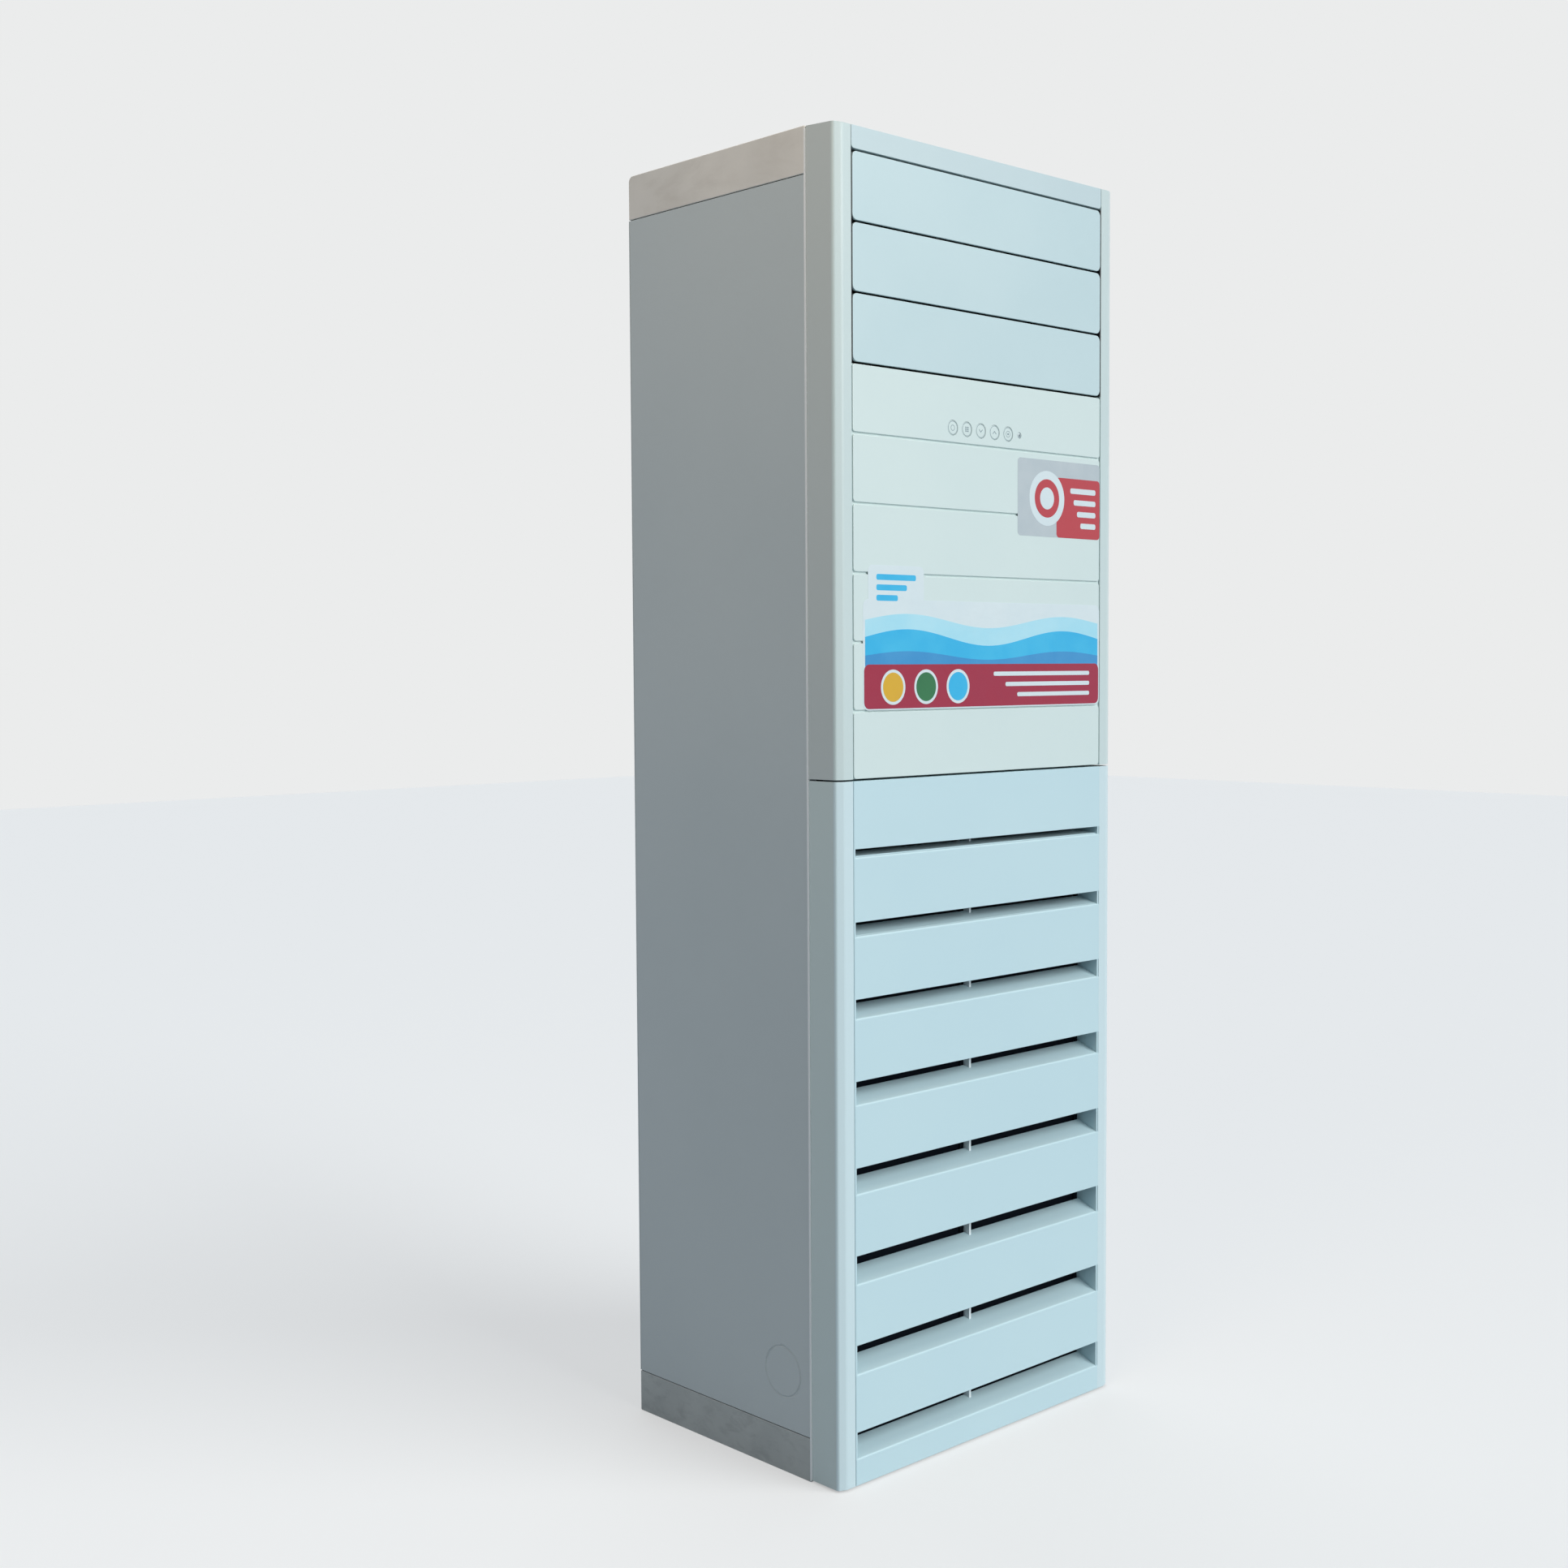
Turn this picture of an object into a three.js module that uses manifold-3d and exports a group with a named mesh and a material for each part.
// Floor standing air conditioner, indoor cabinet unit.
// Millimetres, +Z up. The front faces -Y, and +X is the right side seen from the front.
// The origin is the middle of the footprint, on the floor.
import * as THREE from 'three';
import { mergeVertices } from 'three/addons/utils/BufferGeometryUtils.js';
import Module from 'manifold-3d';

const wasm = await Module();
wasm.setup();

// ---------------------------------------------------------------- driving dimensions
const WIDTH = 590;
const DEPTH = 430;
const HEIGHT = 1840;
const HALF_W = WIDTH / 2;
const GAP = 0.3; // between pieces that touch
const SHEET = 1.5; // folded steel sheet
const SHELL = 2.8; // moulded plastic wall

// Heights that the front is divided by
const SPLIT_Z = 971; // seam between the upper front and the opening lower front
const TILE_PITCH = 92.5; // vanes and tiles share one pitch
const TILE_GROOVE = 3;
const TILE_COUNT = 6;
const VANE_COUNT = 3;
const TILES_TOP_Z = SPLIT_Z + TILE_COUNT * TILE_PITCH;
const VANES_TOP_Z = TILES_TOP_Z + VANE_COUNT * TILE_PITCH;
const LOWER_TOP_Z = SPLIT_Z - 1.3;
const UPPER_BOTTOM_Z = SPLIT_Z + 1;
const LOWER_BOTTOM_Z = 3;

// Depths behind the front face
const POST_DEPTH = 55.8; // moulded corner posts
const CABINET_DEPTH_START = 57.6; // steel cabinet behind them
const POST_WIDTH = 29.7;
const INSERT_HALF_W = HALF_W - POST_WIDTH - 0.4;

// Steel cabinet
const BASE_HEIGHT = 61;
const TOP_SKIRT = 63;
const FLANGE = 15;
const REAR_TOP_RADIUS = 9;
const KNOCKOUT = { depth: 113, z: 142, outer: 36, inner: 34.8, groove: 0.7 };

// Tilting vanes
const VANE_HEIGHT = TILE_PITCH - TILE_GROOVE;
const VANE_AXIS_DEPTH = 10;
const VANE_HALF_LENGTH = HALF_W - POST_WIDTH - 1.5;
const VANE_THICKNESS = 17;
const VANE_PIN_R = 3.75;
const CRANK = { radius: 18, hubR: 6.5, endR: 4.5, pinR: 2.5, x0: 268.8, x1: 272.3 };
const LINK = { x0: 273.2, x1: 275.7, halfWidth: 5, holeR: 3 };

// Swinging blades behind the vanes
const BLADE_COUNT = 8;
const BLADE_PITCH = 66.25;
const BLADE_AXIS_DEPTH = 80;
const BLADE = { z0: TILES_TOP_Z + 8, z1: VANES_TOP_Z - 4.5, front: 20, back: 25, thickness: 2.4 };
const BLADE_PIN_R = 2.4;
const TIE = { offset: 18, pinR: 2, holeR: 2.5, halfWidth: 4, z0: TILES_TOP_Z + 3, thickness: 2.5 };
const DUCT = { halfW: 262, z0: TILES_TOP_Z - 2, z1: VANES_TOP_Z + 2.5, depth0: 57.6, depth1: 150, wall: 2.5 };
const RAIL_THICKNESS = 2.5;

// Push buttons on the fourth tile from the top
const BUTTONS = { count: 5, pitch: 29.5, x0: -66.1, z: 1455, r: 10.3, boreR: 10.7, flangeR: 12.5 };
const LED = { x: 77, r: 4, boreR: 4.3 };

// Lower grille: the height of each slot's upper edge and its opening, from the top down
const SLOT_TOPS = [878, 779, 674, 562, 443, 322, 198, 77];
const SLOT_OPENINGS = [11, 19.5, 26.5, 32.5, 36, 39.5, 40.5, 37];
const SLOT_DEPTH = 36;
const SLOT_RISE = 14.5;
const SKIN = 3;
const CENTRE_RIB = { halfWidth: 2, depth0: 27 };
const FILTER = { depth0: 37.5, thickness: 6, z0: 49.4, z1: 860, border: 8, ribs: 5 };
const FILTER_LIP_DEPTH = FILTER.depth0 + FILTER.thickness + 1;

// Hinge at the foot of the lower front
const HINGE = { depth: 8, z: 15, pinR: 3, slotR: 3.4, armX: 196, armT: 4, pinLength: 9, armEndR: 4.4 };

// Fan
const FAN = { z: 410, wheelR: 160, eyeR: 130, blades: 24, depth0: 202, depth1: 330 };
const SCROLL = { r0: 175, r1: 235, tongueDeg: 70, neckTop: 550, depth0: 190, depth1: 345, wall: 2.5 };
const MOTOR = { r: 60, depth0: 345.6, depth1: 406 };
const SHELF_Z = 951.5;

// Evaporator
const COIL = { halfW: 235, thickness: 44, length: 547, depth: 240, z: 1265, leanDeg: 30.8 };

// ---------------------------------------------------------------- finishes
function finish(color, roughness, metalness) {
  return new THREE.MeshStandardMaterial({ color, roughness, metalness });
}
const FINISH = {
  whitePlastic: () => finish('#dce9eb', 0.35, 0),
  lowerPlastic: () => finish('#d3e4e9', 0.35, 0),
  steelPaint: () => finish('#b5b8ba', 0.4, 0.1),
  basePaint: () => finish('#8d9295', 0.5, 0.1),
  zincSheet: () => finish('#9aa0a3', 0.45, 0.8),
  aluminium: () => finish('#b9bcbe', 0.4, 0.9),
  copper: () => finish('#b8704a', 0.35, 0.9),
  darkPlastic: () => finish('#3a3d40', 0.6, 0),
  greyPlastic: () => finish('#8f9698', 0.55, 0),
  board: () => finish('#2f5d3a', 0.6, 0),
  lens: () => finish('#5a2a2a', 0.15, 0),
  filterMesh: () => finish('#4c5156', 0.8, 0),
  rubber: () => finish('#6b6e70', 0.8, 0),
};

// ---------------------------------------------------------------- geometry helpers
/** Y of a point that lies the given depth behind the front face. */
const fromFront = (depth) => depth - DEPTH / 2;

/** A box from its low and high limits in X, Y and Z. */
function box(x0, x1, y0, y1, z0, z1) {
  const geometry = new THREE.BoxGeometry(x1 - x0, y1 - y0, z1 - z0);
  return geometry.translate((x0 + x1) / 2, (y0 + y1) / 2, (z0 + z1) / 2);
}

/** A box whose Y limits are given as depths behind the front face. */
const depthBox = (x0, x1, d0, d1, z0, z1) => box(x0, x1, fromFront(d0), fromFront(d1), z0, z1);

/** Closed outline from [a, b] pairs. */
const outline = (points) => new THREE.Shape(points.map(([a, b]) => new THREE.Vector2(a, b)));

/** An outline carried up from its own plane. */
function prism(shape, length) {
  return new THREE.ExtrudeGeometry(shape, { depth: length, bevelEnabled: false, curveSegments: 8 });
}

/** An XY outline carried up in Z. */
const prismZ = (shape, z0, z1) => prism(shape, z1 - z0).translate(0, 0, z0);

/** A YZ outline carried along X. */
function prismX(shape, x0, x1) {
  return prism(shape, x1 - x0).rotateY(Math.PI / 2).rotateX(Math.PI / 2).translate(x0, 0, 0);
}

/** An XZ outline carried along Y. */
const prismY = (shape, y0, y1) => prism(shape, y1 - y0).rotateX(Math.PI / 2).translate(0, y1, 0);

/** A cylinder along X, Y or Z between two limits on that axis. */
function rod(axis, radius, low, high, sides = 16) {
  const geometry = new THREE.CylinderGeometry(radius, radius, high - low, sides);
  if (axis === 'x') geometry.rotateZ(Math.PI / 2);
  if (axis === 'z') geometry.rotateX(Math.PI / 2);
  const middle = (low + high) / 2;
  return geometry.translate(axis === 'x' ? middle : 0, axis === 'y' ? middle : 0, axis === 'z' ? middle : 0);
}

/** A solid ready for a boolean from closed geometry. */
function solid(geometry) {
  const bare = geometry.index ? geometry.toNonIndexed() : geometry.clone();
  bare.deleteAttribute('normal');
  bare.deleteAttribute('uv');
  const merged = mergeVertices(bare, 1e-4);
  const mesh = new wasm.Mesh({
    numProp: 3,
    vertProperties: new Float32Array(merged.attributes.position.array),
    triVerts: new Uint32Array(merged.index.array),
  });
  return new wasm.Manifold(mesh);
}

/** Geometry from the result of a boolean. */
function geometryOf(manifold) {
  const mesh = manifold.getMesh();
  const geometry = new THREE.BufferGeometry();
  geometry.setAttribute('position', new THREE.BufferAttribute(new Float32Array(mesh.vertProperties), 3));
  geometry.setIndex(new THREE.BufferAttribute(new Uint32Array(mesh.triVerts), 1));
  geometry.computeVertexNormals();
  return geometry;
}

/** One solid from several that overlap. */
const join = (...parts) => geometryOf(parts.map(solid).reduce((sum, part) => sum.add(part)));

/** A solid with the tools taken away. */
function cut(base, ...tools) {
  return geometryOf(tools.map(solid).reduce((rest, tool) => rest.subtract(tool), solid(base)));
}

/** A round tube along a smooth line through points given as [x, depth, z]. */
function tube(points, radius, sides, steps) {
  const path = new THREE.CatmullRomCurve3(points.map(([x, d, z]) => new THREE.Vector3(x, fromFront(d), z)));
  const section = new THREE.Shape();
  for (let i = 0; i < sides; i += 1) {
    const angle = (i / sides) * 2 * Math.PI;
    const [a, b] = [radius * Math.cos(angle), radius * Math.sin(angle)];
    if (i === 0) section.moveTo(a, b);
    else section.lineTo(a, b);
  }
  return new THREE.ExtrudeGeometry(section, { steps, extrudePath: path, bevelEnabled: false });
}

const unit = new THREE.Group();

/** Adds one named piece, at an optional place, to the unit or to a group in it. */
function add(name, geometry, material, place = [0, 0, 0], parent = unit) {
  const mesh = new THREE.Mesh(geometry, material);
  mesh.name = name;
  mesh.position.set(...place);
  parent.add(mesh);
}

/** [x, y] points mirrored to the right side, in an order that keeps the outline's turn. */
const mirrored = (points) => points.map(([x, y]) => [-x, y]).reverse();

const SIDES = [['left', -1], ['right', 1]];

// ---------------------------------------------------------------- steel cabinet
/** Pressed tray that everything stands on, with the two hinge arms welded to its front wall. */
function basePan() {
  const tray = cut(
    depthBox(-HALF_W, HALF_W, CABINET_DEPTH_START, DEPTH, 0, BASE_HEIGHT),
    depthBox(-HALF_W + 2, HALF_W - 2, CABINET_DEPTH_START + 2, DEPTH - 2, 2, BASE_HEIGHT + 1),
  );
  const arms = SIDES.map(([, side]) => hingeArm(side));
  return join(tray, ...arms);
}

/** Arm that reaches forward to the lower front's hinge line and holds its pin. */
function hingeArm(side) {
  const shape = new THREE.Shape();
  shape.moveTo(fromFront(CABINET_DEPTH_START + 1), 6);
  shape.lineTo(fromFront(CABINET_DEPTH_START + 1), 34);
  shape.lineTo(fromFront(34), HINGE.z + HINGE.armEndR);
  shape.absarc(fromFront(HINGE.depth), HINGE.z, HINGE.armEndR, Math.PI / 2, (3 * Math.PI) / 2, false);
  shape.lineTo(fromFront(34), HINGE.z - HINGE.armEndR);
  const x0 = side * HINGE.armX - HINGE.armT / 2;
  const pin = rod('x', HINGE.pinR, HINGE.armX, HINGE.armX + HINGE.armT / 2 + HINGE.pinLength);
  if (side < 0) pin.rotateZ(Math.PI);
  pin.translate(0, fromFront(HINGE.depth), HINGE.z);
  return join(prismX(shape, x0, x0 + HINGE.armT), pin);
}

/** Folded side sheet with a flange along its front and back edges. */
function sidePanel(side) {
  const y0 = fromFront(CABINET_DEPTH_START);
  const y1 = fromFront(DEPTH - SHEET - GAP);
  const leftProfile = [
    [-HALF_W, y0], [-HALF_W + FLANGE, y0], [-HALF_W + FLANGE, y0 + SHEET], [-HALF_W + SHEET, y0 + SHEET],
    [-HALF_W + SHEET, y1 - SHEET], [-HALF_W + FLANGE, y1 - SHEET], [-HALF_W + FLANGE, y1], [-HALF_W, y1],
  ];
  const profile = outline(side < 0 ? leftProfile : mirrored(leftProfile));
  return prismZ(profile, BASE_HEIGHT + GAP, HEIGHT - TOP_SKIRT - GAP);
}

/** Ring pressed round the pipe knock-out, with the small tab that lets a tool start it. */
function knockoutGroove() {
  const x0 = -HALF_W - 1;
  const x1 = -HALF_W + KNOCKOUT.groove;
  const ring = cut(rod('x', KNOCKOUT.outer, x0, x1, 40), rod('x', KNOCKOUT.inner, x0 - 1, x1 + 1, 40));
  const tab = box(x0, x1, -4, 4, KNOCKOUT.inner, KNOCKOUT.outer + 3);
  return join(ring, tab).translate(0, fromFront(KNOCKOUT.depth), KNOCKOUT.z);
}

/** Back sheet with shallow pressed stiffening fields. */
function backPanel() {
  const sheet = depthBox(-HALF_W, HALF_W, DEPTH - SHEET, DEPTH, BASE_HEIGHT + GAP, HEIGHT - TOP_SKIRT - GAP);
  const fieldHeight = 350;
  const fields = [];
  for (let i = 0; i < 4; i += 1) {
    const z0 = 160 + i * 400;
    fields.push(depthBox(-220, 220, DEPTH - 0.8, DEPTH + 1, z0, z0 + fieldHeight));
  }
  return cut(sheet, ...fields);
}

/** Top cover: a tray turned down, its rear edge rolled to a radius. */
function topCover() {
  const tray = (inset, front) => {
    const [y0, y1] = [fromFront(front), fromFront(DEPTH - inset)];
    const [z0, z1] = [HEIGHT - TOP_SKIRT - (inset ? 1 : 0), HEIGHT - inset];
    const r = REAR_TOP_RADIUS - inset;
    const shape = new THREE.Shape();
    shape.moveTo(y0, z0);
    shape.lineTo(y1, z0);
    shape.lineTo(y1, z1 - r);
    shape.absarc(y1 - r, z1 - r, r, 0, Math.PI / 2, false);
    shape.lineTo(y0, z1);
    return prismX(shape, -HALF_W + inset, HALF_W - inset);
  };
  return cut(tray(0, CABINET_DEPTH_START), tray(2, CABINET_DEPTH_START - 1));
}

add('base_pan', basePan(), FINISH.basePaint());
add('side_panel_left', cut(sidePanel(-1), knockoutGroove()), FINISH.steelPaint());
add('side_panel_right', sidePanel(1), FINISH.steelPaint());
add('back_panel', backPanel(), FINISH.steelPaint());
add('top_cover', topCover(), FINISH.steelPaint());

// ---------------------------------------------------------------- corner posts
/** Section of a moulded corner post: side wing, bevelled front corner and inner return wall. */
function postProfile(side) {
  const wall = [
    [0, POST_DEPTH], [0, 8], [1, 6], [2.5, 4.6],
    [12, 0.4], [14, 0], [POST_WIDTH, 0], [POST_WIDTH, POST_DEPTH],
  ];
  const inner = [
    [POST_WIDTH - SHELL, POST_DEPTH], [POST_WIDTH - SHELL, SKIN], [14.5, SKIN],
    [5, 7], [SHELL, 9.5], [SHELL, POST_DEPTH],
  ];
  const left = [...wall, ...inner].map(([x, d]) => [x - HALF_W, fromFront(d)]);
  return outline(side < 0 ? left : mirrored(left));
}

/** Outer section of a post without its cavity, for the cap at its top. */
function capProfile(side) {
  const wall = [
    [0, POST_DEPTH], [0, 8], [2.5, 4.6], [12, 0.4], [14, 0], [POST_WIDTH, 0], [POST_WIDTH, POST_DEPTH],
  ];
  const left = wall.map(([x, d]) => [x - HALF_W, fromFront(d)]);
  return outline(side < 0 ? left : mirrored(left));
}

/** Everything above the gently falling top of the front, as a cutting prism. */
function topSlope() {
  return prismX(outline([
    [fromFront(-2), HEIGHT - 5], [fromFront(POST_DEPTH + 1), HEIGHT - 1],
    [fromFront(POST_DEPTH + 1), HEIGHT + 5], [fromFront(-2), HEIGHT + 5],
  ]), -HALF_W - 5, HALF_W + 5);
}

const vaneAxisZ = (index) => VANES_TOP_Z - (index + 0.5) * TILE_PITCH;

/** Upper post with a cap and the bearing holes of the vanes in its return wall. */
function upperPost(side) {
  const channel = prismZ(postProfile(side), UPPER_BOTTOM_Z, HEIGHT - 3);
  const cap = prismZ(capProfile(side), HEIGHT - 8, HEIGHT);
  const bores = [];
  for (let i = 0; i < VANE_COUNT; i += 1) {
    const x = side * (HALF_W - POST_WIDTH + SHELL / 2);
    const bore = rod('x', VANE_PIN_R + 0.5, x - 4, x + 4, 14);
    bores.push(bore.translate(0, fromFront(VANE_AXIS_DEPTH), vaneAxisZ(i)));
  }
  return cut(join(channel, cap), topSlope(), ...bores);
}

for (const [name, side] of SIDES) {
  add(`upper_post_${name}`, upperPost(side), FINISH.whitePlastic());
  add(`lower_post_${name}`, prismZ(postProfile(side), LOWER_BOTTOM_Z, LOWER_TOP_Z), FINISH.lowerPlastic());
}

// ---------------------------------------------------------------- upper front
/** Plain band above the vanes, with the ledge that roofs the outlet. */
function header() {
  const z0 = VANES_TOP_Z + TILE_GROOVE / 2;
  const shape = outline([
    [0, z0 + 1], [1, z0], [POST_DEPTH, z0], [POST_DEPTH, z0 + SKIN], [SKIN, z0 + SKIN], [SKIN, HEIGHT - 7],
    [POST_DEPTH, HEIGHT - 4], [POST_DEPTH, HEIGHT], [2, HEIGHT], [0, HEIGHT - 4.5],
  ].map(([d, z]) => [fromFront(d), z]));
  return cut(prismX(shape, -INSERT_HALF_W, INSERT_HALF_W), topSlope());
}

/** Front skin of the tiles: flat fields with rounded edges between square grooves. */
function tileOutline() {
  const thickness = 5;
  const points = [];
  for (let i = 0; i < TILE_COUNT; i += 1) {
    const z0 = SPLIT_Z + i * TILE_PITCH + TILE_GROOVE / 2;
    const z1 = z0 + TILE_PITCH - TILE_GROOVE;
    const depthBelow = i === 0 ? 1.2 : TILE_GROOVE;
    const depthAbove = i === TILE_COUNT - 1 ? 1.2 : TILE_GROOVE;
    points.push([depthBelow, z0], [0.35, z0 + 0.35], [0, z0 + 1.2]);
    points.push([0, z1 - 1.2], [0.35, z1 - 0.35], [depthAbove, z1]);
  }
  const top = points[points.length - 1][1];
  const bottom = points[0][1];
  points.push([POST_DEPTH, top], [POST_DEPTH, top - SKIN], [thickness, top - SKIN]);
  points.push([thickness, bottom + SKIN]);
  points.push([20, bottom + SKIN], [20, bottom]);
  return outline(points.map(([d, z]) => [fromFront(d), z]));
}

/** Upper panel of six tiles, bored for the buttons and the lamp, with pegs for the board. */
function upperPanel() {
  const skin = prismX(tileOutline(), -INSERT_HALF_W, INSERT_HALF_W);
  const [low, high] = [fromFront(-2), fromFront(7)];
  const bore = (x, radius, sides) => rod('y', radius, low, high, sides).translate(x, 0, BUTTONS.z);
  const peg = (x, z) => rod('y', 3, fromFront(4), fromFront(15.7), 6).translate(x, 0, BUTTONS.z + z);
  const bores = [bore(LED.x, LED.boreR, 12)];
  for (let i = 0; i < BUTTONS.count; i += 1) {
    bores.push(bore(BUTTONS.x0 + i * BUTTONS.pitch, BUTTONS.boreR, 24));
  }
  return join(cut(skin, ...bores), peg(-90, -12), peg(-90, 12), peg(98, -12), peg(98, 12));
}

/** Button cap with a captive flange and a stem to its switch. */
function button() {
  const cap = rod('y', BUTTONS.r, 0.1, 7, 24);
  const flange = rod('y', BUTTONS.flangeR, 5.6, 7, 16);
  return join(cap, flange, rod('y', 3, 6.5, 12, 8));
}

/** Circuit board with a tact switch behind each button. */
function displayBoard() {
  const switches = [];
  for (let i = 0; i < BUTTONS.count; i += 1) {
    const x = BUTTONS.x0 + i * BUTTONS.pitch;
    switches.push(depthBox(x - 3, x + 3, 13.3, 16.5, BUTTONS.z - 3, BUTTONS.z + 3));
  }
  return join(depthBox(-96, 104, 16, 17.6, BUTTONS.z - 18, BUTTONS.z + 18), ...switches);
}

add('header', header(), FINISH.whitePlastic());
add('upper_panel', upperPanel(), FINISH.whitePlastic());
for (let i = 0; i < BUTTONS.count; i += 1) {
  const place = [BUTTONS.x0 + i * BUTTONS.pitch, fromFront(0), BUTTONS.z];
  add(`button_${i + 1}`, button(), FINISH.whitePlastic(), place);
}
add('display_board', displayBoard(), FINISH.board());
add('led_lens', rod('y', LED.r, 0.2, 15.7, 12), FINISH.lens(), [LED.x, fromFront(0), BUTTONS.z]);

// ---------------------------------------------------------------- tilting vanes
/** Section of a vane round its own axis: flat front, rounded edges, bulged back. */
function vaneOutline() {
  const half = VANE_HEIGHT / 2;
  const front = -VANE_AXIS_DEPTH;
  const edge = front + 4;
  const bulge = VANE_THICKNESS - 4;
  const points = [
    [front + 0.8, -half], [front, -half + 0.9], [front, half - 0.9], [front + 0.8, half], [edge, half],
  ];
  const steps = 8;
  for (let i = 1; i < steps; i += 1) {
    const t = 1 - (2 * i) / steps;
    points.push([edge + bulge * (1 - t * t), half * t]);
  }
  points.push([edge, -half]);
  return outline(points);
}

/** Vane with a bearing pin at each end. */
function vane(rightPinEnd) {
  const body = prismX(vaneOutline(), -VANE_HALF_LENGTH, VANE_HALF_LENGTH);
  const leftPin = rod('x', VANE_PIN_R, -CRANK.x1 - GAP, -VANE_HALF_LENGTH + 2, 12);
  const rightPin = rod('x', VANE_PIN_R, VANE_HALF_LENGTH - 2, rightPinEnd, 12);
  return join(body, leftPin, rightPin);
}

/** Lever on a vane's left pin, with the crank pin that the link bar takes. */
function vaneCrank() {
  const shape = new THREE.Shape();
  shape.absarc(0, 0, CRANK.hubR, Math.PI / 3, (5 * Math.PI) / 3, false);
  shape.absarc(CRANK.radius, 0, CRANK.endR, (-5 * Math.PI) / 12, (5 * Math.PI) / 12, false);
  const bore = rod('x', VANE_PIN_R + GAP, -CRANK.x1 - 1, -CRANK.x0 + 1, 12);
  const lever = cut(prismX(shape, -CRANK.x1, -CRANK.x0), bore);
  const pin = rod('x', CRANK.pinR, -LINK.x1 - 1.5, -CRANK.x0 - 1, 10).translate(0, CRANK.radius, 0);
  return join(lever, pin);
}

/** Flat bar that joins the three crank pins, drawn round the first one. */
function vaneLink() {
  const low = -(VANE_COUNT - 1) * TILE_PITCH;
  const shape = new THREE.Shape();
  shape.absarc(0, 0, LINK.halfWidth, 0, Math.PI, false);
  shape.absarc(0, low, LINK.halfWidth, Math.PI, 2 * Math.PI, false);
  const holes = [];
  for (let i = 0; i < VANE_COUNT; i += 1) {
    holes.push(rod('x', LINK.holeR, -LINK.x1 - 1, -LINK.x0 + 1, 12).translate(0, 0, -i * TILE_PITCH));
  }
  return cut(prismX(shape, -LINK.x1, -LINK.x0), ...holes);
}

/** Small geared motor whose shaft socket sits off the centre of its can. */
function stepper() {
  const can = rod('x', 12.5, 0, 15, 20).translate(0, 8, 0);
  const ears = box(0, 1.5, 4.5, 11.5, -20, 20);
  return cut(join(can, ears), rod('x', VANE_PIN_R + 0.5, -1, 8, 12));
}

for (let i = 0; i < VANE_COUNT; i += 1) {
  const y = fromFront(VANE_AXIS_DEPTH);
  const rightPinEnd = i === 0 ? 274.5 : 271;
  add(`vane_${i + 1}`, vane(rightPinEnd), FINISH.whitePlastic(), [0, y, vaneAxisZ(i)]);
  add(`vane_crank_${i + 1}`, vaneCrank(), FINISH.greyPlastic(), [0, y, vaneAxisZ(i)]);
}
const linkDepth = VANE_AXIS_DEPTH + CRANK.radius;
add('vane_link', vaneLink(), FINISH.greyPlastic(), [0, fromFront(linkDepth), vaneAxisZ(0)]);
add('vane_motor', stepper(), FINISH.zincSheet(), [268.6, fromFront(VANE_AXIS_DEPTH), vaneAxisZ(0)]);

// ---------------------------------------------------------------- outlet duct and swinging blades
const bladeX = (index) => (index - (BLADE_COUNT - 1) / 2) * BLADE_PITCH;

/** Open rectangular duct, drilled under the driven blade. */
function outletDuct() {
  const { halfW, z0, z1, depth0, depth1, wall } = DUCT;
  const outer = depthBox(-halfW - wall, halfW + wall, depth0, depth1, z0 - wall, z1 + wall);
  const inner = depthBox(-halfW, halfW, depth0 - 1, depth1 + 1, z0, z1);
  const bore = rod('z', BLADE_PIN_R + 0.6, z0 - wall - 1, z0 + 1, 10);
  return cut(outer, inner, bore.translate(bladeX(BLADE_COUNT - 1), fromFront(BLADE_AXIS_DEPTH), 0));
}

/** Strip with one bearing hole for each blade. */
function bladeRail(z0) {
  const reach = DUCT.halfW - GAP;
  const strip = depthBox(-reach, reach, BLADE_AXIS_DEPTH - 6, BLADE_AXIS_DEPTH + 6, z0, z0 + RAIL_THICKNESS);
  const holes = [];
  for (let i = 0; i < BLADE_COUNT; i += 1) {
    const hole = rod('z', BLADE_PIN_R + 0.5, z0 - 1, z0 + RAIL_THICKNESS + 1, 8);
    holes.push(hole.translate(bladeX(i), fromFront(BLADE_AXIS_DEPTH), 0));
  }
  return cut(strip, ...holes);
}

/** Blade round its own pivot line: a thin tapered leaf, two bearing pins and a tie pin. */
function blade(lowPinEnd) {
  const { front, back, thickness, z0, z1 } = BLADE;
  const half = thickness / 2;
  const leaf = outline([
    [-0.5, -front], [0.5, -front], [half, -front + 4], [half, 6],
    [0.6, back], [-0.6, back], [-half, 6], [-half, -front + 4],
  ]);
  return join(
    prismZ(leaf, z0, z1),
    rod('z', BLADE_PIN_R, lowPinEnd, z0 + 8, 10),
    rod('z', BLADE_PIN_R, z1 - 8, DUCT.z1 - 0.7, 10),
    rod('z', TIE.pinR, TIE.z0 - 0.8, z0 + 5, 8).translate(0, TIE.offset, 0),
  );
}

/** Bar that makes the blades swing together, drawn round the first blade's tie pin. */
function tieBar() {
  const reach = (BLADE_COUNT - 1) * BLADE_PITCH;
  const shape = new THREE.Shape();
  shape.absarc(0, 0, TIE.halfWidth, Math.PI / 2, (3 * Math.PI) / 2, false);
  shape.absarc(reach, 0, TIE.halfWidth, -Math.PI / 2, Math.PI / 2, false);
  const holes = [];
  for (let i = 0; i < BLADE_COUNT; i += 1) {
    const hole = rod('z', TIE.holeR, TIE.z0 - 1, TIE.z0 + TIE.thickness + 1, 8);
    holes.push(hole.translate(i * BLADE_PITCH, 0, 0));
  }
  return cut(prismZ(shape, TIE.z0, TIE.z0 + TIE.thickness), ...holes);
}

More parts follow.
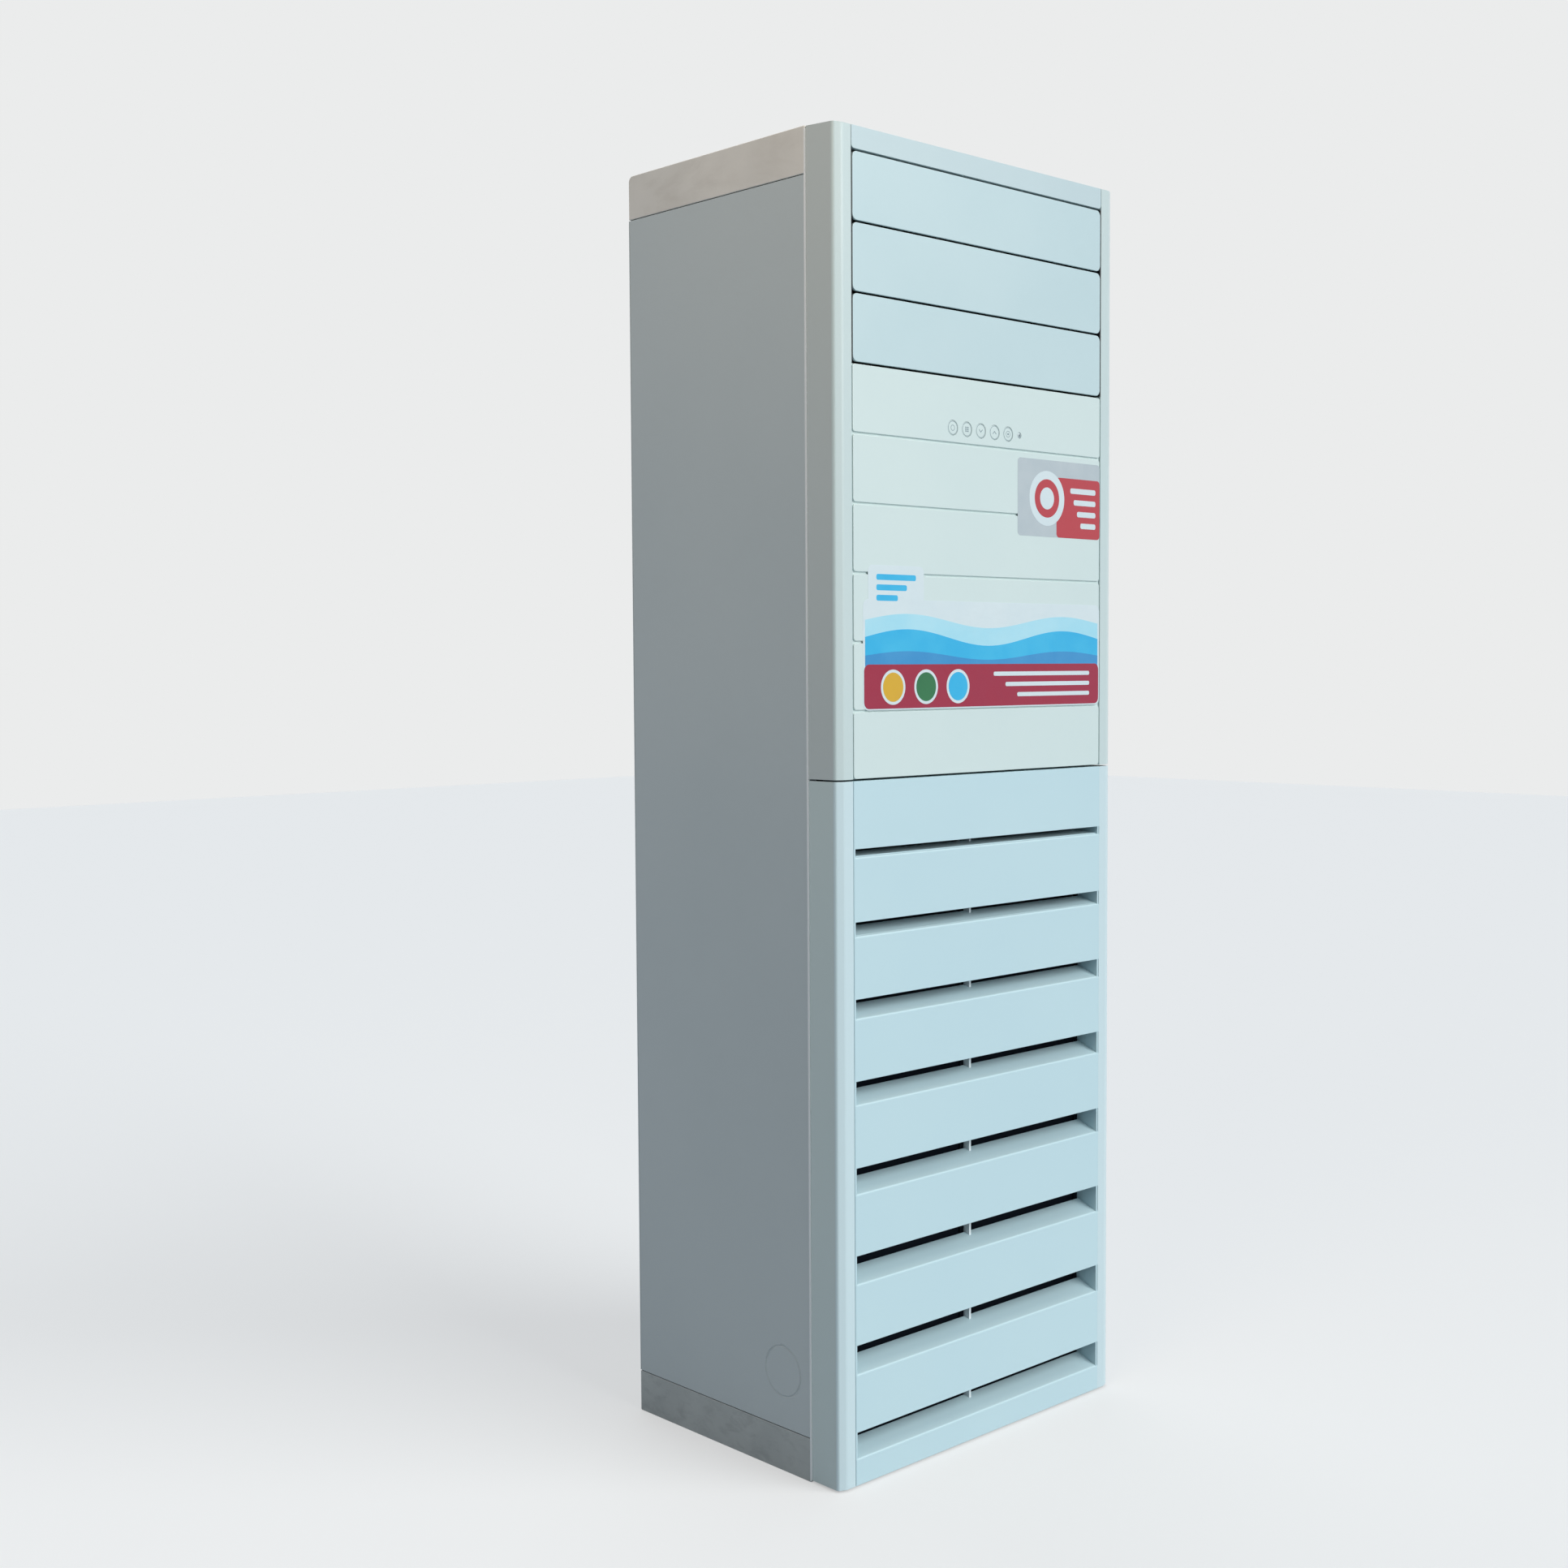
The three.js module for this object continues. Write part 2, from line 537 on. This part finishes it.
/** The blades' geared motor, turned to stand under the duct. */
function bladeMotor() {
  const can = rod('z', 14, -16, 0, 20).translate(0, 8, 0);
  const ears = box(-20, 20, 4.5, 11.5, -1.5, 0);
  return cut(join(can, ears), rod('z', BLADE_PIN_R + 0.5, -8, 1, 10));
}

add('outlet_duct', outletDuct(), FINISH.darkPlastic());
add('blade_rail_bottom', bladeRail(DUCT.z0 + GAP), FINISH.darkPlastic());
add('blade_rail_top', bladeRail(DUCT.z1 - GAP - RAIL_THICKNESS), FINISH.darkPlastic());
for (let i = 0; i < BLADE_COUNT; i += 1) {
  const driven = i === BLADE_COUNT - 1;
  const lowPinEnd = driven ? DUCT.z0 - DUCT.wall - 6 : DUCT.z0 + 0.6;
  add(`blade_${i + 1}`, blade(lowPinEnd), FINISH.greyPlastic(), [bladeX(i), fromFront(BLADE_AXIS_DEPTH), 0]);
}
const tieDepth = BLADE_AXIS_DEPTH + TIE.offset;
add('blade_tie_bar', tieBar(), FINISH.greyPlastic(), [bladeX(0), fromFront(tieDepth), 0]);
const bladeMotorPlace = [bladeX(BLADE_COUNT - 1), fromFront(BLADE_AXIS_DEPTH), DUCT.z0 - DUCT.wall - GAP];
add('blade_motor', bladeMotor(), FINISH.zincSheet(), bladeMotorPlace);

// ---------------------------------------------------------------- evaporator and its drain
const coilGroup = new THREE.Group();
coilGroup.position.set(0, fromFront(COIL.depth), COIL.z);
coilGroup.rotation.x = THREE.MathUtils.degToRad(-COIL.leanDeg);
unit.add(coilGroup);

/** End plate of the coil with return bends outside it and two lugs to the side sheet. */
function coilEnd(side) {
  const x0 = COIL.halfW + GAP;
  const half = COIL.thickness / 2;
  const plate = box(x0, x0 + 1.5, -half - 3, half + 3, -COIL.length / 2, COIL.length / 2);
  const lugs = [200, -120].map((z) => box(x0, HALF_W - SHEET - GAP, -half, half, z, z + 2));
  const bends = [];
  const bendR = 12.7;
  for (let i = 0; i < 6; i += 1) {
    const path = { steps: 5, extrudePath: new BendCurve(bendR), bevelEnabled: false };
    const bend = new THREE.ExtrudeGeometry(outline(hexagon(5)), path);
    bends.push(bend.translate(x0 + 1, i % 2 ? 11 : -11, -235 + i * 78));
  }
  const end = join(plate, ...lugs, ...bends);
  return side < 0 ? mirrorX(end) : end;
}

/** Corner points of a hexagon. */
function hexagon(radius) {
  const corner = (i) => [radius * Math.cos((i * Math.PI) / 3), radius * Math.sin((i * Math.PI) / 3)];
  return Array.from({ length: 6 }, (_, i) => corner(i));
}

/** Half circle that leaves and enters the end plate, in XZ. */
class BendCurve extends THREE.Curve {
  constructor(radius) {
    super();
    this.radius = radius;
  }

  getPoint(t, target = new THREE.Vector3()) {
    const angle = t * Math.PI;
    return target.set(this.radius * Math.sin(angle), 0, -this.radius * Math.cos(angle));
  }
}

/** The same shape on the other side, with its faces still pointing out. */
function mirrorX(geometry) {
  return geometryOf(solid(geometry).mirror([1, 0, 0]));
}

/** Tray under the coil's low edge, with a spout at its left end. */
function drainPan() {
  const z0 = SHELF_Z + SHEET + 1 + GAP;
  const tray = cut(depthBox(-250, 250, 70, 168, z0, z0 + 50), depthBox(-248, 248, 72, 166, z0 + 2, z0 + 60));
  const spout = rod('x', 6, -256, -248.5, 12).translate(0, fromFront(92), z0 + 14);
  return join(tray, spout);
}

const coilHalf = COIL.thickness / 2;
const coilSlab = box(-COIL.halfW, COIL.halfW, -coilHalf, coilHalf, -COIL.length / 2, COIL.length / 2);
add('evaporator_coil', coilSlab, FINISH.aluminium(), [0, 0, 0], coilGroup);
add('coil_end_left', coilEnd(-1), FINISH.zincSheet(), [0, 0, 0], coilGroup);
add('coil_end_right', coilEnd(1), FINISH.zincSheet(), [0, 0, 0], coilGroup);
add('drain_pan', drainPan(), FINISH.greyPlastic());

const HOSE_R = 8;
const RUN_X = -272; // the hose and the pipes come down along the left side

/** A bend that turns down into a straight run. The last point of the bend tops the run. */
function bendAndRun(bend, radius, lowZ) {
  const [x, depth, topZ] = bend[bend.length - 1];
  const run = rod('z', radius, lowZ, topZ, 8).rotateZ(Math.PI / 8).translate(x, fromFront(depth), 0);
  return join(tube(bend, radius, 8, 10), run);
}

const hoseBend = [[-257, 92, 968.8], [-264, 92, 968], [-270, 92, 955], [RUN_X, 92, 935], [RUN_X, 92, 915]];
add('drain_hose', bendAndRun(hoseBend, HOSE_R, 90), FINISH.rubber());

/** Copper pipe from the coil end down to a flare nut by the knock-out. */
function refrigerantPipe(radius, depth, coilDepth, coilZ) {
  const nutTop = KNOCKOUT.z + 38;
  const bend = [
    [-240, coilDepth, coilZ], [-256, coilDepth, coilZ - 2],
    [RUN_X + 3, depth + 2, coilZ - 18], [RUN_X, depth, coilZ - 45],
    [RUN_X, depth, coilZ - 70],
  ];
  const nut = prismZ(outline(hexagon(radius + 5)), nutTop - 26, nutTop).translate(RUN_X, fromFront(depth), 0);
  return join(bendAndRun(bend, radius, nutTop - 10), nut);
}

add('gas_pipe', refrigerantPipe(8, 118, 124, 1092), FINISH.copper());
add('liquid_pipe', refrigerantPipe(5, 142, 156, 1128), FINISH.copper());

// ---------------------------------------------------------------- shelf, control box and fan
/** Sheet that parts the fan space from the coil space, open for the fan neck and the pipes. */
function partitionShelf() {
  const reach = HALF_W - SHEET - GAP;
  const sheet = depthBox(-reach, reach, 60, DEPTH - 2 * SHEET - 2 * GAP, SHELF_Z, SHELF_Z + SHEET + 1);
  const neck = scrollNeck(SCROLL.wall + GAP);
  return cut(
    sheet,
    depthBox(neck.x0, neck.x1, SCROLL.depth0 - GAP, SCROLL.depth1 + GAP, SHELF_Z - 5, SHELF_Z + 10),
    depthBox(-reach - 1, -258, 78, 160, SHELF_Z - 5, SHELF_Z + 10),
  );
}

/** X limits of the fan's neck, grown by a margin. */
function scrollNeck(grow) {
  const tongueX = SCROLL.r0 * Math.cos(THREE.MathUtils.degToRad(SCROLL.tongueDeg));
  return { x0: tongueX - grow, x1: SCROLL.r1 + grow };
}

/** Spiral outline of the fan housing round the fan's axis, grown by a margin. */
function scrollOutline(grow, top) {
  const steps = 26;
  const start = THREE.MathUtils.degToRad(SCROLL.tongueDeg);
  const { x0, x1 } = scrollNeck(grow);
  const points = [[x1, top], [x0, top]];
  for (let i = 0; i <= steps; i += 1) {
    const angle = start + (i / steps) * (2 * Math.PI - start);
    const r = SCROLL.r0 + ((SCROLL.r1 - SCROLL.r0) * i) / steps + grow;
    points.push([Math.max(r * Math.cos(angle), i === 0 ? x0 : -Infinity), r * Math.sin(angle)]);
  }
  return outline(points);
}

/** Fan housing: a spiral case on two feet, open at its neck and at the inlet. */
function fanScroll() {
  const { depth0, depth1, wall, neckTop } = SCROLL;
  const footTop = -150;
  const foot = (x) => depthBox(x - 8, x + 8, depth0 + 10, depth1 - 10, 2 + GAP - FAN.z, footTop);
  const shell = prismY(scrollOutline(wall, neckTop), fromFront(depth0), fromFront(depth1));
  const outer = join(shell, foot(-120), foot(120));
  const inner = prismY(scrollOutline(0, neckTop + 5), fromFront(depth0 + wall), fromFront(depth1 - wall));
  const inlet = rod('y', 148, fromFront(depth0 - 5), fromFront(depth0 + 10), 40);
  const shaftHole = rod('y', 12, fromFront(depth1 - 10), fromFront(depth1 + 5), 12);
  return cut(outer, inner, inlet, shaftHole);
}

/** Ring turned about the fan's axis from [radius, depth] points. */
function turned(points, sides) {
  const profile = points.map(([r, d]) => new THREE.Vector2(r, fromFront(d)));
  return new THREE.LatheGeometry(profile, sides);
}

/** Flared inlet ring that leads the air into the wheel. */
function bellMouth() {
  const points = [
    [143, 199], [143, 180], [148, 172], [158, 168], [172, 167], [172, 169.5], [159, 171], [151, 175],
    [146.5, 182], [146.5, 187], [164, 187], [164, 189.7], [146.5, 189.7], [146.5, 199], [143, 199],
  ];
  return turned(points, 24);
}

/** Fan wheel: forward-curved blades between a back disc and a front ring, on a hub and shaft. */
function impeller() {
  const { wheelR, eyeR, blades, depth0, depth1 } = FAN;
  const disc = rod('y', wheelR, fromFront(depth1 - 3), fromFront(depth1), 36);
  const ringR = wheelR - 8;
  const ringDepth = depth0 + 6;
  const ring = turned([
    [ringR, depth0], [wheelR, depth0], [wheelR, ringDepth], [ringR, ringDepth], [ringR, depth0],
  ], 36);
  const hub = rod('y', 22, fromFront(depth1 - 40), fromFront(depth1), 16);
  const shaft = rod('y', 6, fromFront(depth1 - 5), fromFront(MOTOR.depth0 + 14), 12);
  const section = wheelBladeOutline(eyeR, wheelR - 1);
  const leaves = [];
  for (let i = 0; i < blades; i += 1) {
    const leaf = prismY(section, fromFront(depth0 + 1), fromFront(depth1 - 1));
    leaves.push(leaf.rotateY((i / blades) * 2 * Math.PI));
  }
  return join(disc, ring, hub, shaft, ...leaves);
}

/** Section of one wheel blade: a thin arc that leans forward as it nears the rim. */
function wheelBladeOutline(innerR, outerR) {
  const steps = 3;
  const thickness = 1.6;
  const lean = 0.16;
  const edge = (offset) => Array.from({ length: steps + 1 }, (_, i) => {
    const t = i / steps;
    const r = innerR + (outerR - innerR) * t;
    const angle = lean * t * t;
    return [r * Math.cos(angle) - offset * Math.sin(angle), r * Math.sin(angle) + offset * Math.cos(angle)];
  });
  return outline([...edge(-thickness / 2), ...edge(thickness / 2).reverse()]);
}

/** Motor can with the blind bore of its shaft end. */
function fanMotor() {
  const { r, depth0, depth1 } = MOTOR;
  return turned([
    [0, depth0 + 16], [7, depth0 + 16], [7, depth0], [r - 10, depth0],
    [r, depth0 + 7], [r, depth1 - 8], [r - 8, depth1], [0, depth1],
  ], 24);
}

/** Strap behind the motor, folded forward along both side sheets. */
function motorBracket() {
  const reach = HALF_W - SHEET - GAP;
  const d0 = MOTOR.depth1 + GAP;
  const points = [
    [-reach, d0 - 30], [-reach + 2, d0 - 30], [-reach + 2, d0],
    [reach - 2, d0], [reach - 2, d0 - 30], [reach, d0 - 30],
    [reach, d0 + 2], [-reach, d0 + 2],
  ];
  return prismZ(outline(points.map(([x, d]) => [x, fromFront(d)])), FAN.z - 45, FAN.z + 45);
}

const CONTROL = { x0: 40, x1: 264.8, depth0: 24, depth1: 78, z0: 1060, z1: 1290 };

/** Open-fronted box for the electrics. */
function controlBox() {
  const { x0, x1, depth0, depth1, z0, z1 } = CONTROL;
  return cut(
    depthBox(x0, x1, depth0, depth1, z0, z1),
    depthBox(x0 + 2, x1 - 2, depth0 - 1, depth1 - 2, z0 + 2, z1 - 2),
  );
}

const fanPlace = [0, 0, FAN.z];
add('partition_shelf', partitionShelf(), FINISH.zincSheet());
add('control_box', controlBox(), FINISH.zincSheet());
const coverDepth = CONTROL.depth0 - GAP;
const controlCover = depthBox(CONTROL.x0, CONTROL.x1, coverDepth - SHEET, coverDepth, CONTROL.z0, CONTROL.z1);
add('control_box_cover', controlCover, FINISH.zincSheet());
add('fan_scroll', fanScroll(), FINISH.zincSheet(), fanPlace);
add('bell_mouth', bellMouth(), FINISH.zincSheet(), fanPlace);
add('impeller', impeller(), FINISH.darkPlastic(), fanPlace);
add('fan_motor', fanMotor(), FINISH.zincSheet(), fanPlace);
add('motor_bracket', motorBracket(), FINISH.zincSheet());

// ---------------------------------------------------------------- lower grille and its filters
/** Section of one slat: front skin and the sloping floor of the slot above it. */
function slatOutline(z0, z1) {
  const points = [
    [0, z0], [0, z1 - 6.1], [0.7, z1 - 2.6], [2.7, z1 + 0.3], [5.6, z1 + 2.2], [SLOT_DEPTH, z1 + SLOT_RISE],
    [SLOT_DEPTH, z1 + SLOT_RISE - SKIN], [10, z1 + 0.6], [SKIN, z1 - 5], [SKIN, z0],
  ];
  return outline(points.map(([d, z]) => [fromFront(d), z]));
}

/** Section of the uppermost slat, which folds back under the seam. */
function topSlatOutline(z0) {
  const points = [
    [0, z0], [0, LOWER_TOP_Z - 1], [1, LOWER_TOP_Z], [22, LOWER_TOP_Z],
    [22, LOWER_TOP_Z - SKIN], [SKIN, LOWER_TOP_Z - SKIN], [SKIN, z0],
  ];
  return outline(points.map(([d, z]) => [fromFront(d), z]));
}

/** Lug that hangs on a hinge pin: open below, so that the front can be lifted off. */
function hingeLug(side) {
  const x0 = HINGE.armX + HINGE.armT / 2 + 1.5;
  const { depth, z, slotR } = HINGE;
  const plate = depthBox(x0, x0 + 5, SKIN - 0.5, 16, 6, 34);
  const slot = rod('x', slotR, x0 - 1, x0 + 6, 14).translate(0, fromFront(depth), z);
  const mouth = depthBox(x0 - 1, x0 + 6, depth - slotR, depth + slotR, 0, z);
  const lug = cut(plate, slot, mouth);
  return side < 0 ? mirrorX(lug) : lug;
}

/** Grille: nine slats between two end walls and a centre rib, with the filter channels behind. */
function grille() {
  const slats = [prismX(topSlatOutline(SLOT_TOPS[0]), -INSERT_HALF_W, INSERT_HALF_W)];
  SLOT_TOPS.forEach((top, i) => {
    const slatTop = top - SLOT_OPENINGS[i];
    const slatBottom = SLOT_TOPS[i + 1] ?? LOWER_BOTTOM_Z;
    slats.push(prismX(slatOutline(slatBottom, slatTop), -INSERT_HALF_W, INSERT_HALF_W));
  });
  const channelZ = [LOWER_BOTTOM_Z + 36, FILTER.z1 + 40];
  const lipDepth = [FILTER_LIP_DEPTH, FILTER_LIP_DEPTH + 2];
  const wall = (x0, x1, d0, d1) => depthBox(x0, x1, d0, d1, ...channelZ);
  const walls = [
    wall(-INSERT_HALF_W, -INSERT_HALF_W + SKIN, 0.5, lipDepth[1]),
    wall(INSERT_HALF_W - SKIN, INSERT_HALF_W, 0.5, lipDepth[1]),
    wall(-CENTRE_RIB.halfWidth, CENTRE_RIB.halfWidth, CENTRE_RIB.depth0, lipDepth[1]),
    wall(-INSERT_HALF_W, -INSERT_HALF_W + 9, ...lipDepth),
    wall(INSERT_HALF_W - 9, INSERT_HALF_W, ...lipDepth),
    wall(-8, 8, ...lipDepth),
    depthBox(-INSERT_HALF_W, INSERT_HALF_W, SLOT_DEPTH - 3, lipDepth[1], FILTER.z0 - 3.4, FILTER.z0 - 0.4),
  ];
  return join(...slats, ...walls, hingeLug(-1), hingeLug(1));
}

/** Washable filter: a frame, cross ribs and a fine screen moulded in one. */
function filter(side) {
  const { depth0, thickness, z0, z1, border, ribs } = FILTER;
  const x0 = CENTRE_RIB.halfWidth + 0.6;
  const x1 = INSERT_HALF_W - SKIN - 0.6;
  const depth1 = depth0 + thickness;
  const frame = cut(
    depthBox(x0, x1, depth0, depth1, z0, z1),
    depthBox(x0 + border, x1 - border, depth0 - 1, depth1 + 1, z0 + border, z1 - border),
  );
  const screen = depthBox(x0 + 2, x1 - 2, depth0 + 2.5, depth0 + 3.5, z0 + 2, z1 - 2);
  const bars = [];
  for (let i = 1; i <= ribs; i += 1) {
    const z = z0 + (i * (z1 - z0)) / (ribs + 1);
    bars.push(depthBox(x0 + 2, x1 - 2, depth0 + 1, depth1 - 1, z - 2, z + 2));
  }
  const whole = join(frame, screen, ...bars);
  return side < 0 ? mirrorX(whole) : whole;
}

add('grille', grille(), FINISH.lowerPlastic());
for (const [name, side] of SIDES) add(`filter_${name}`, filter(side), FINISH.filterMesh());

export default unit;
